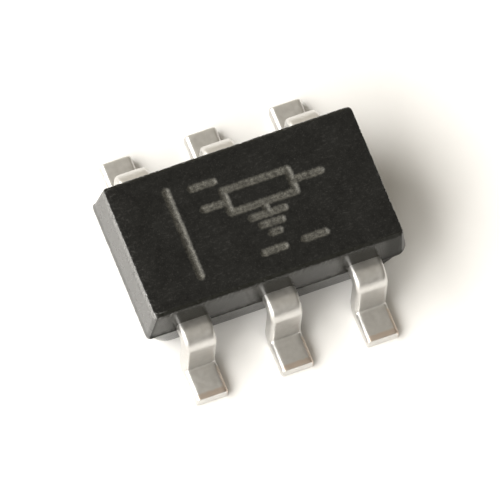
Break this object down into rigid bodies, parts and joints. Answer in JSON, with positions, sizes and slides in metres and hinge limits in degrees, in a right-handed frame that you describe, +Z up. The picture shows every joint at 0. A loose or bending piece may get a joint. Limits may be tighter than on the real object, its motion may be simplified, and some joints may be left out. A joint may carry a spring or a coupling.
{
  "type": "low-dropout voltage regulator",
  "caption": "Small surface-mount voltage regulator: a black moulded block with tin-plated gull-wing leads along both long sides and a bar mark at its first-lead end.",
  "frame": {"origin": "centre of the package on the solder plane, under the middle of the body", "axes": "+X along the body, away from the bar mark at the first-lead end; +Y out along leads 4 to 6; +Z up from the solder plane"},
  "size_m": [0.0028, 0.0028, 0.0011],
  "materials": {
    "mould_epoxy": "matt",
    "tin_plated_copper": "satin",
    "silver_adhesive": "satin",
    "silicon": "polished",
    "bond_wire_copper": "polished"
  },
  "bodies": {
    "root": {"mould_body": "mould_epoxy", "lead_1": "tin_plated_copper", "lead_2_with_paddle": "tin_plated_copper", "lead_3": "tin_plated_copper", "lead_4": "tin_plated_copper", "lead_5": "tin_plated_copper", "lead_6": "tin_plated_copper", "die_attach": "silver_adhesive", "die": "silicon", "wire_input_a": "bond_wire_copper", "wire_input_b": "bond_wire_copper", "wire_ground": "bond_wire_copper", "wire_enable": "bond_wire_copper", "wire_bypass": "bond_wire_copper", "wire_sense": "bond_wire_copper", "wire_output_a": "bond_wire_copper", "wire_output_b": "bond_wire_copper"}
  },
  "joints": []
}
